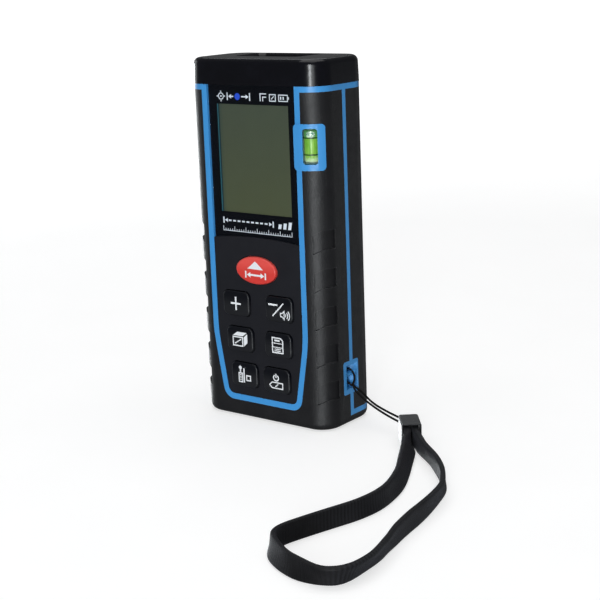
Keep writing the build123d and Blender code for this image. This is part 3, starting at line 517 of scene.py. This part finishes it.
class Artwork:
    """Thin solid shapes drawn in the front view (x, z in mm) on a face that looks along -Y."""

    def __init__(self, face_y, thickness_mm, x=0.0, z=0.0):
        self.bm = bmesh.new()
        self.levels = (face_y - thickness_mm * MM, face_y)
        self.x = x
        self.z = z

    def loop(self, points):
        return [[self.bm.verts.new(((self.x + u) * MM, y, (self.z + v) * MM)) for u, v in points]
                for y in self.levels]

    def fill(self, points):
        front, back = self.loop(points)
        self.bm.faces.new(front)
        self.bm.faces.new(reversed(back))
        ring_bridge(self.bm, front, back)

    def band(self, outer, inner):
        """The ring between two closed outlines that have as many points each."""
        loops = self.loop(outer) + list(reversed(self.loop(inner)))
        for ring, after in zip(loops, loops[1:] + loops[:1]):
            ring_bridge(self.bm, ring, after)

    def stroke(self, points, width, closed=False):
        left = beside(points, width / 2, closed)
        right = beside(points, -width / 2, closed)
        if closed:
            self.band(left, right)
        else:
            self.fill(left + right[::-1])

    def box(self, x_low, z_low, x_high, z_high):
        self.fill([(x_low, z_low), (x_high, z_low), (x_high, z_high), (x_low, z_high)])

    def arc(self, x, z, radius, from_deg, to_deg, width, steps=16):
        self.stroke(arc_points(x, z, radius, from_deg, to_deg, steps), width)

    def ring(self, x, z, radius, width, steps=28):
        self.stroke(arc_points(x, z, radius, 0, 360, steps)[:-1], width, closed=True)

    def disc(self, x, z, radius, steps=24):
        self.fill(arc_points(x, z, radius, 0, 360, steps)[:-1])


def arc_points(x, z, radius, from_deg, to_deg, steps):
    angles = [math.radians(from_deg + (to_deg - from_deg) * i / steps) for i in range(steps + 1)]
    return [(x + radius * math.cos(a), z + radius * math.sin(a)) for a in angles]


def beside(points, distance, closed):
    """A line moved sideways by a distance, mitred where it turns."""
    moved = []
    last = len(points) - 1
    for i, point in enumerate(points):
        here = Vector(point)
        sides = []
        if i > 0 or closed:
            run = (here - Vector(points[i - 1])).normalized()
            sides.append(Vector((-run.y, run.x)))
        if i < last or closed:
            run = (Vector(points[(i + 1) % len(points)]) - here).normalized()
            sides.append(Vector((-run.y, run.x)))
        mitre = (sides[0] + sides[-1]).normalized()
        moved.append(tuple(here + mitre * distance / max(0.4, mitre.dot(sides[0]))))
    return moved


# ================================================================ display window, print and glint
def clear_copy(node, name, slot, back_axis, back_at, lift):
    """A clear CAD plate's own mesh with its back face drawn off what it lies on."""
    mesh = nodes[node].data.copy()
    for vertex in mesh.vertices:
        if abs(vertex.co[back_axis] - back_at) < 0.01 * MM:
            vertex.co[back_axis] += lift
    mesh.materials.clear()
    mesh.materials.append(FINISHES[slot])
    obj = bpy.data.objects.new(name, mesh)
    scene.collection.objects.link(obj)
    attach(obj, "root")
    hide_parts(node)
    return obj


window_pane = clear_copy("display_window", "display_pane", "window_clear", 1, GLASS_BACK, -AIR)
soften(window_pane, 0.18, 3)
optic_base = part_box("optic_window")[0].z
optic_pane = clear_copy("optic_window", "optic_pane", "optic_glass", 2, optic_base, AIR)
soften(optic_pane, 0.12)

INK_FACE = GLASS_BACK - 0.005 * MM


def window_print():
    """White print on the back of the window: a target and a dimension line, three small signs,
    a dashed beam between two walls, three bars and a ruler."""
    art = Artwork(INK_FACE, 0.015)
    # target and dimension line, top left
    target_x, target_z = -12.3, 106.1
    art.ring(target_x, target_z, 1.0, 0.3)
    art.disc(target_x, target_z, 0.3)
    for dx, dz in ((-1.5, 0), (1.5, 0), (0, -1.5), (0, 1.5)):
        x, z = target_x + dx, target_z + dz
        art.box(x - 0.2, z - 0.2, x + 0.2, z + 0.2)
    art.box(-9.9, 104.9, -9.5, 107.3)
    art.fill([(-9.3, 106.1), (-8.1, 105.4), (-8.1, 106.8)])
    art.box(-8.1, 105.9, -7.2, 106.3)
    art.box(-4.0, 105.9, -2.2, 106.3)
    art.fill([(-1.0, 106.1), (-2.2, 106.8), (-2.2, 105.4)])
    art.box(-0.8, 104.9, -0.4, 107.3)
    # room corner, area and battery signs, top right
    art.stroke([(3.6, 104.9), (3.6, 107.2), (6.0, 107.2)], 0.32)
    art.stroke([(4.6, 104.9), (4.6, 106.2), (6.0, 106.2)], 0.32)
    art.stroke([(7.3, 105.05), (9.6, 105.05), (9.6, 107.05), (7.3, 107.05)], 0.3, closed=True)
    art.stroke([(7.95, 105.6), (8.95, 106.5)], 0.28)
    art.stroke([(10.9, 105.1), (14.3, 105.1), (14.3, 107.0), (10.9, 107.0)], 0.28, closed=True)
    art.box(14.5, 105.65, 14.85, 106.45)
    for i in range(2):
        art.box(11.45 + 1.0 * i, 105.6, 11.9 + 1.0 * i, 106.5)
    # dashed beam between two walls, under the display
    art.box(-13.8, 65.2, -13.3, 67.2)
    art.fill([(-13.1, 66.2), (-11.9, 65.55), (-11.9, 66.85)])
    for i in range(9):
        art.box(-11.5 + 1.85 * i, 65.95, -10.35 + 1.85 * i, 66.45)
    art.fill([(6.3, 66.2), (5.1, 66.85), (5.1, 65.55)])
    art.box(6.5, 65.2, 7.0, 67.2)
    # three slanted bars, growing
    foot, wide, slant = 65.0, 1.2, 0.18
    for i in range(3):
        x, tall = 8.7 + 1.95 * i, 1.5 + 0.45 * i
        shift, top = slant * tall, foot + tall
        art.fill([(x, foot), (x + wide, foot), (x + wide + shift, top), (x + shift, top)])
    # ruler
    start, pitch, ticks, thick = -13.9, 0.93, 31, 0.2
    base = 62.75
    art.box(start, base, start + pitch * (ticks - 1) + thick, base + thick)
    for i in range(ticks):
        x = start + pitch * i
        tall = 1.35 if i % 5 == 0 else 0.6
        art.box(x, base + thick + 0.01, x + thick, base + thick + 0.01 + tall)
    return art


def add_print(name, art, body, material=white_print):
    return add_piece(name, art.bm, body, material=material, smooth=False)


def blue_mark():
    """A blue dot, the laser's spot, in the middle of the dimension line."""
    art = Artwork(INK_FACE, 0.015)
    art.disc(-5.6, 106.1, 1.1)
    return art


add_print("window_print", window_print(), "root")
add_print("window_mark", blue_mark(), "root", blue_print)


# ================================================================ legends on the keys
def legend(key):
    """An empty drawing for a key's sign; its points are in mm from the key's centre."""
    x, z = KEY_CENTRES[key]
    return Artwork(KEY_FACE + 0.002 * MM, 0.03, x, z)


def measure_legend():
    art = legend("key_measure")
    art.fill([(-3.2, 0.45), (3.2, 0.45), (0.0, 3.1)])
    art.box(-4.3, -2.6, -3.75, -0.4)
    art.fill([(-3.55, -1.5), (-2.1, -2.4), (-2.1, -0.6)])
    art.box(-2.1, -1.8, 2.1, -1.2)
    art.fill([(3.55, -1.5), (2.1, -0.6), (2.1, -2.4)])
    art.box(3.75, -2.6, 4.3, -0.4)
    return art


def plus_legend():
    art = legend("key_plus")
    arm, up, half = 2.1, 2.25, 0.31
    art.fill([(-arm, -half), (-half, -half), (-half, -up), (half, -up), (half, -half), (arm, -half),
              (arm, half), (half, half), (half, up), (-half, up), (-half, half), (-arm, half)])
    return art


def minus_legend():
    art = legend("key_minus")
    art.box(-4.1, 1.15, -0.4, 1.75)
    art.stroke([(-2.5, -2.3), (2.0, 2.2)], 0.46)
    art.stroke([(0.75, -2.15), (1.35, -2.15), (2.2, -2.9), (2.2, -0.3), (1.35, -1.05), (0.75, -1.05)],
               0.34, closed=True)
    for radius in (0.7, 1.45, 2.2):
        art.arc(2.15, -1.6, radius, -42, 42, 0.34, 8)
    return art


def volume_legend():
    art = legend("key_volume")
    art.stroke([(-2.8, -2.2), (1.2, -2.2), (1.2, 0.7), (-2.8, 0.7)], 0.42, closed=True)
    art.fill([(-2.9, 1.15), (1.3, 1.15), (3.0, 2.5), (-0.9, 2.5)])
    art.fill([(1.7, 0.85), (1.7, -2.2), (3.2, -0.9), (3.2, 2.15)])
    art.stroke([(-2.1, -1.55), (0.6, 0.1)], 0.36)
    return art


def memory_legend():
    art = legend("key_memory")
    art.stroke([(-2.1, -2.4), (2.1, -2.4), (2.1, 1.7), (1.3, 2.5), (-2.1, 2.5)], 0.42, closed=True)
    art.box(-1.2, 1.35, 0.9, 1.95)
    art.box(-1.9, 0.6, 1.9, 0.85)
    art.box(-1.9, -0.75, 1.9, -0.5)
    art.box(-1.3, -1.35, 1.3, -1.05)
    art.box(-1.3, -1.95, 1.3, -1.65)
    return art


def unit_legend():
    art = legend("key_unit")
    art.disc(-1.55, 2.35, 0.62)
    art.stroke([(-1.55, 1.7), (-1.55, 0.75)], 0.5)
    art.stroke([(-2.2, 0.5), (-0.75, 0.5), (-0.75, -2.5), (-2.2, -2.5)], 0.38, closed=True)
    for z in (-1.9, -1.1, -0.3):
        art.box(-1.75, z, -1.2, z + 0.4)
    art.stroke([(-0.05, 2.3), (-0.05, -2.6)], 0.5)
    art.stroke([(1.0, -1.7), (1.0, -0.1), (2.6, -0.1), (2.6, -1.7)], 0.42, closed=True)
    return art


def clear_legend():
    art = legend("key_clear")
    art.arc(0.0, 1.0, 1.0, -235, 55, 0.42, 20)
    art.stroke([(0.0, 1.0), (0.0, 2.4)], 0.42)
    art.stroke([(-2.7, -1.55), (-1.7, -0.6), (2.6, -0.6), (2.6, -2.5), (-1.7, -2.5)], 0.36, closed=True)
    art.stroke([(-0.4, -2.05), (0.8, -1.05)], 0.34)
    return art


LEGENDS = {
    "key_measure": measure_legend, "key_plus": plus_legend, "key_minus": minus_legend,
    "key_volume": volume_legend, "key_memory": memory_legend, "key_unit": unit_legend,
    "key_clear": clear_legend,
}
for key, draw in LEGENDS.items():
    add_print(key.replace("key_", "legend_"), draw(), key)


# ================================================================ the raised arrow on the battery cover
def cover_arrow():
    """An arrow towards the cover's foot, a little proud of its face, under the latch's finger grooves."""
    proud, deep, arrow_z = 0.2, 0.4, 52.0
    art = Artwork(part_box("battery_cover")[1].y + proud * MM, deep, 0.0, arrow_z)
    art.fill([(-2.6, 1.6), (0.0, -1.4), (2.6, 1.6)])
    art.box(-2.6, 2.3, 2.6, 2.9)
    return art


add_piece("cover_arrow", cover_arrow().bm, "battery_cover", slot="black_plastic", smooth=False)


# ================================================================ spirit level
vial_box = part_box("level_vial")
vial_at = (vial_box[0] + vial_box[1]) / 2 / MM
vial_low = vial_box[0].z / MM
vial_high = vial_box[1].z / MM
VIAL_DEG = 63.0                 # the level looks out this far round from the side towards the front
BORE_R = 2.36                   # the clear tube's inner and outer radius
TUBE_R = 2.46


def tube_profile():
    """The tube's wall as a closed profile, its outer ends rounded."""
    soft, gap = 0.35, 0.04
    low, high = vial_low + gap, vial_high - gap
    return [(TUBE_R - soft, low), (TUBE_R - 0.3 * soft, low + 0.3 * soft), (TUBE_R, low + soft),
            (TUBE_R, high - soft), (TUBE_R - 0.3 * soft, high - 0.3 * soft), (TUBE_R - soft, high),
            (BORE_R, high), (BORE_R, low)]


vial_tube = add_piece("vial_tube", lathe(tube_profile(), vial_at.x, vial_at.y), "root", "vial_clear")
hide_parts("level_vial")

PLUG_L = 1.0                    # the tube's ends that hold no fluid
CHAMFER = 0.3
fluid_low, fluid_high, fluid_r = vial_low + PLUG_L, vial_high - PLUG_L, BORE_R - 0.05
fluid_profile = [
    (0, fluid_low), (fluid_r - CHAMFER, fluid_low), (fluid_r, fluid_low + CHAMFER),
    (fluid_r, fluid_high - CHAMFER), (fluid_r - CHAMFER, fluid_high), (0, fluid_high)]
fluid = capped_lathe(fluid_profile, vial_at.x, vial_at.y)
vial_fluid = add_piece("vial_fluid", fluid, "root", "vial_green")
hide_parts("vial_liquid")


def bubble_glint_paint():
    """Painted glints: the bubble's bright outline where it presses against the tube, and the end plug's
    edge, in painted highlight over painted teal shade.
    """
    finish = Finish("bubble_white", Roughness=0.2, Specular_IOR_Level=0.5)
    # patches of painted highlight on painted teal shade
    patchy = finish.span(finish.grain(0.5, 3.0), 0.42, 0.58)
    finish.paint(finish.blend(patchy, (0.05, 0.2, 0.17), (0.75, 0.85, 0.75)))
    finish.rough(finish.span(finish.grain(0.4), 0.3, 0.7, 0.12, 0.3))
    finish.bump(finish.grain(0.4, 2.0), 0.05)
    return finish.material


def bubble():
    """A flat oval that lies on the fluid's front, just under its top."""
    half_deg, half_z, proud = 38.0, 1.05, 0.035
    middle_z = fluid_high - 1.15
    profile = [(math.sin(a), -math.cos(a)) for a in (math.pi * i / 12 for i in range(13))]
    profile = [(0.0, -1.0), *profile[1:-1], (0.0, 1.0)]
    bm = capped_lathe(profile, 0, 0, 32)
    for vertex in bm.verts:
        u, w, v = vertex.co / MM
        turn = math.radians(-VIAL_DEG + half_deg * u)
        radius = fluid_r + proud * w
        vertex.co = Vector((vial_at.x + radius * math.cos(turn), vial_at.y + radius * math.sin(turn),
                            middle_z + half_z * v)) * MM
    return bm


add_piece("vial_bubble", bubble(), "root", material=bubble_glint_paint())


# ================================================================ wrist strap
CORD_ROUTE = (
    (50.42, -2.9, 4.9), (45.9, -0.5, 5.0), (39.2, 1.1, 5.8), (32.9, 1.6, 7.7), (28.9, 1.2, 11.5),
    (23.2, 0.2, 13.9), (23.2, -0.3, 17.7), (26.4, -0.7, 19.0), (28.6, -0.9, 16.6),
    (27.3, -1.1, 12.7), (31.4, -1.1, 9.6), (37.0, -1.15, 6.8), (43.6, -1.75, 4.8),
    (49.5, -3.65, 4.4),
)
CORD_D = 0.7
WEB_ROUTE = (
    (52.72, -8.53, 3.8), (57.8, -14.7, 3.6), (64.3, -27.3, 3.1), (72.3, -42.8, 3.05),
    (75.6, -60.1, 3.1), (69.1, -79.6, 3.05), (65.7, -92.3, 3.1), (69.7, -98.2, 3.05),
    (80.9, -104.3, 3.1), (94.0, -104.0, 3.05), (95.2, -89.7, 3.1), (90.4, -71.0, 3.05),
    (88.4, -53.0, 3.1), (84.2, -37.3, 3.05), (73.9, -24.7, 3.1), (59.55, -13.3, 3.6),
    (54.51, -7.08, 3.8),
)
WEB_W = 6.0
WEB_T = 2.2


def route_points(route, step_mm):
    """Points a step apart along the smooth NURBS line that has the route's points as its controls."""
    curve = bpy.data.curves.new("route", "CURVE")
    curve.dimensions = "3D"
    curve.resolution_u = 40
    spline = curve.splines.new("NURBS")
    spline.points.add(len(route) - 1)
    for point, place in zip(spline.points, route):
        point.co = (*(c * MM for c in place), 1.0)
    spline.order_u = 3
    spline.use_endpoint_u = True
    holder = bpy.data.objects.new("route", curve)
    line = bpy.data.meshes.new_from_object(holder)
    points = [v.co.copy() for v in line.vertices]
    bpy.data.objects.remove(holder)
    bpy.data.meshes.remove(line)
    runs = [(b - a).length for a, b in zip(points, points[1:])]
    count = round(sum(runs) / (step_mm * MM))
    walked, at, spaced = 0.0, 0, []
    for i in range(count + 1):
        target = sum(runs) * i / count
        while at < len(runs) - 1 and walked + runs[at] < target:
            walked += runs[at]
            at += 1
        share = min(1.0, (target - walked) / runs[at])
        spaced.append(points[at].lerp(points[at + 1], share))
    return spaced


def along(points):
    """The direction of the line at each of its points."""
    count = len(points)
    return [(points[min(i + 1, count - 1)] - points[max(i - 1, 0)]).normalized() for i in range(count)]


def eased(keys, share):
    """The value at a share of the length, eased between given (share, value) keys."""
    for (start, low), (end, high) in zip(keys, keys[1:]):
        if share <= end:
            t = (share - start) / (end - start)
            return low + (high - low) * t * t * (3 - 2 * t)
    return keys[-1][1]


def skinned(points, section, sides, wide_mm):
    """A closed tube of sections along a line, with a weave map in metres along and round it.
    section(i, angle) gives the offsets across the line: sideways and up, in mm."""
    bm = bmesh.new()
    weave = bm.loops.layers.uv.new("weave")
    directions = along(points)
    rings = []
    for i, (point, ahead) in enumerate(zip(points, directions)):
        up = (Vector((0, 0, 1)) - ahead * ahead.z).normalized()
        side = ahead.cross(up)
        ring = []
        for k in range(sides):
            across, rise = section(i, 2 * math.pi * k / sides)
            ring.append(bm.verts.new(point + side * across * MM + up * rise * MM))
        rings.append(ring)
    walked = 0.0
    for i in range(len(rings) - 1):
        step = (points[i + 1] - points[i]).length
        for k in range(sides):
            after = (k + 1) % sides
            face = bm.faces.new((rings[i][k], rings[i][after], rings[i + 1][after], rings[i + 1][k]))
            spots = ((walked, k), (walked, k + 1), (walked + step, k + 1), (walked + step, k))
            for loop, (u, v) in zip(face.loops, spots):
                loop[weave].uv = (u, v / sides * wide_mm * MM)
        walked += step
    for ring in (rings[0], rings[-1]):
        face = bm.faces.new(ring)
        for loop in face.loops:
            loop[weave].uv = (0.0, 0.0)
    return bm


def braided(points):
    """A thin braided cord: strands crossing both ways round it, as low ridges."""
    strands, lay = 4, 2.2           # lay is the length of one turn of a strand
    core, ridge_high = 0.93, 0.09   # shares of the cord's radius

    def section(i, angle):
        s = i * CORD_STEP
        turn = 2 * math.pi * s / lay
        ridge = max(math.cos(strands * angle + turn * 2), math.cos(strands * angle - turn * 2))
        radius = CORD_D / 2 * (core + ridge_high * ridge)
        return radius * math.cos(angle), radius * math.sin(angle)

    return skinned(points, section, 20, math.pi * CORD_D)


CORD_STEP = 0.14                # length between two sections
WEB_STEP = 0.22
cord_points = route_points(CORD_ROUTE, CORD_STEP)
web_points = route_points(WEB_ROUTE, WEB_STEP)

# share of the loop's length, then how far the strap's upper edge leans into the loop, in degrees
WEB_LEAN = ((0.0, 0), (0.018, 0), (0.05, -32), (0.1, -28), (0.16, -20), (0.22, -6), (0.3, 0), (0.38, 2),
            (0.43, 18), (0.47, 10), (0.52, -24), (0.57, -28), (0.62, -16), (0.66, -6), (0.7, -4),
            (0.785, -12), (0.83, 4), (0.88, 4), (0.92, 10), (0.97, 0), (1.0, 0))
# share of the length, then how full the strap is: its two ends are pressed together in the end piece
WEB_FULL = ((0.0, 1.18), (0.04, 1.18), (0.07, 1.0), (0.93, 1.0), (0.96, 1.18), (1.0, 1.18))


def webbing(points):
    """Flat tubular webbing on its edge: full at its two folds, a little hollow between them,
    with cross ribs, leaning as it lies."""
    count = len(points) - 1
    half_w, half_t = WEB_W / 2, WEB_T / 2
    fold, belly = 0.75, 0.55        # below 1 squares the section's ends and its two broad sides
    dent = 0.45                     # how much of the thickness is lost half way between the folds
    rib_high = 0.07

    def section(i, angle):
        share = i / count
        lean = math.radians(eased(WEB_LEAN, share))
        rib = math.cos(2 * math.pi * i * WEB_STEP / RIB)
        upward = math.sin(angle)
        outward = math.cos(angle)
        rise = half_w * math.copysign(abs(upward) ** fold, upward)
        full = 1.0 - dent * (1 - min(1.0, abs(rise) / half_w) ** 2)
        across = half_t * math.copysign(abs(outward) ** belly, outward) * full * eased(WEB_FULL, share)
        across += math.copysign(rib_high * rib, outward) * min(1.0, 3 * abs(outward))
        return (across * math.cos(lean) - rise * math.sin(lean),
                across * math.sin(lean) + rise * math.cos(lean))

    return skinned(points, section, 36, 2 * (WEB_W + WEB_T))


cord = add_piece("cord", braided(cord_points), "root", "cord_black")
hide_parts("strap_cord")
web = add_piece("wrist_webbing", webbing(web_points), "root", "webbing_black")
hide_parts("strap_webbing")


# ================================================================ floor, light and camera
def floor():
    """A pale round floor with an upturned edge, so that every view ends in the same backdrop.
    It glows less near the object, where its soft shadow has to show."""
    bm = bmesh.new()
    # radius and height in metres
    profile = [(0.0, 0.0), (3.4, 0.0), (3.65, 0.04), (3.85, 0.16), (3.97, 0.36), (4.0, 0.65), (4.0, 4.0)]
    sides = 96
    centre = bm.verts.new((0, 0, 0))
    rings = [turned(bm, 0, 0, r / MM, z / MM, sides) for r, z in profile[1:]]
    for i in range(sides):
        bm.faces.new((centre, rings[0][i], rings[0][(i + 1) % sides]))
    for ring, after in zip(rings, rings[1:]):
        ring_bridge(bm, ring, after)
    mesh = bpy.data.meshes.new("floor")
    bm.to_mesh(mesh)
    bm.free()
    mesh.shade_smooth()
    finish = Finish("floor_white", Specular_IOR_Level=0.1, Emission_Color=(1.0, 1.0, 1.0, 1.0))
    far = finish.add("ShaderNodeVectorMath", {0: finish.place}, operation="LENGTH").outputs["Value"]
    glow = finish.span(far, 0.35, 1.6, 0.62, 1.1)
    finish.tree.links.new(glow, finish.shader.inputs["Emission Strength"])
    cloud = finish.span(finish.grain(40.0, 3.0), 0.3, 0.7)
    finish.paint(finish.blend(cloud, (0.5, 0.5, 0.5), (0.52, 0.52, 0.52)))
    finish.rough(finish.span(finish.grain(15.0), 0.3, 0.7, 0.8, 0.9))
    mesh.materials.append(finish.material)
    obj = bpy.data.objects.new("floor", mesh)
    obj.visible_diffuse = False
    obj.visible_glossy = False
    obj.visible_shadow = False
    scene.collection.objects.link(obj)


def softbox(name, azimuth, distance, low, high, width, watts):
    """An upright soft light that faces the object, between two heights; azimuth as in the views.
    Walls mirror what lies below the camera's height, so a light can reach under the floor,
    which neither mirrors nor shades."""
    data = bpy.data.lights.new(name, "AREA")
    data.shape = "RECTANGLE"
    data.size = width
    data.size_y = high - low
    data.energy = watts
    data.color = (0.94, 0.98, 1.0)
    obj = bpy.data.objects.new(name, data)
    a = math.radians(azimuth)
    place = Vector((math.sin(a) * distance, -math.cos(a) * distance, (low + high) / 2))
    obj.location = place
    obj.rotation_euler = (Vector((0, 0, place.z)) - place).to_track_quat("-Z", "Y").to_euler()
    obj.visible_camera = False
    scene.collection.objects.link(obj)


def overhead(size, height, watts):
    data = bpy.data.lights.new("overhead", "AREA")
    data.shape = "SQUARE"
    data.size = size
    data.energy = watts
    obj = bpy.data.objects.new("overhead", data)
    obj.location = (0, 0, height)
    obj.visible_camera = False
    scene.collection.objects.link(obj)


# name: azimuth in degrees, then distance, low end, high end and width in metres, and watts
SOFTBOXES = {
    "key": (28, 1.25, -0.45, 0.5, 0.18, 13),
    "key_spill": (40, 1.25, -0.45, 0.3, 0.35, 3),
    "fill_back": (215, 1.4, 1.0, 1.7, 1.0, 3),
    "back_left": (235, 1.5, -0.7, 0.05, 0.9, 14),
    "side_low": (156, 1.5, -0.7, 0.0, 0.8, 0.8),
    "left": (264, 1.5, -0.6, 0.6, 0.8, 4),
}
CAMERA_TURN = (37.456, 13.616, -2.111)              # azimuth, pitch down and roll, in degrees
CAMERA_PLACE = (0.273537, -0.348399, 0.145298)      # in metres
CAMERA_LENS = 82.72                                 # focal length on a 36 mm wide sensor


def camera():
    """The camera stands to the front right and looks a little down."""
    azimuth, pitch, roll = (math.radians(d) for d in CAMERA_TURN)
    level_back = Vector((math.sin(azimuth), -math.cos(azimuth), 0))
    back = level_back * math.cos(pitch) + Vector((0, 0, math.sin(pitch)))
    level = Vector((math.cos(azimuth), math.sin(azimuth), 0))
    upright = back.cross(level)
    right = math.cos(roll) * level + math.sin(roll) * upright
    up = math.cos(roll) * upright - math.sin(roll) * level
    data = bpy.data.cameras.new("camera")
    data.sensor_width = 36.0
    data.lens = CAMERA_LENS
    data.clip_start = 0.01
    obj = bpy.data.objects.new("camera", data)
    turn = Matrix((right, up, back)).transposed().to_4x4()
    obj.matrix_world = Matrix.Translation(CAMERA_PLACE) @ turn
    scene.collection.objects.link(obj)
    scene.camera = obj


floor()
for name, settings in SOFTBOXES.items():
    softbox(name, *settings)
overhead(2.4, 2.2, 31)
world = bpy.data.worlds.new("studio")
world.use_nodes = True
background = world.node_tree.nodes["Background"].inputs
background["Color"].default_value = (0.96, 0.98, 1.0, 1.0)
background["Strength"].default_value = 0.12
scene.world = world
scene.view_settings.view_transform = "Standard"
camera()
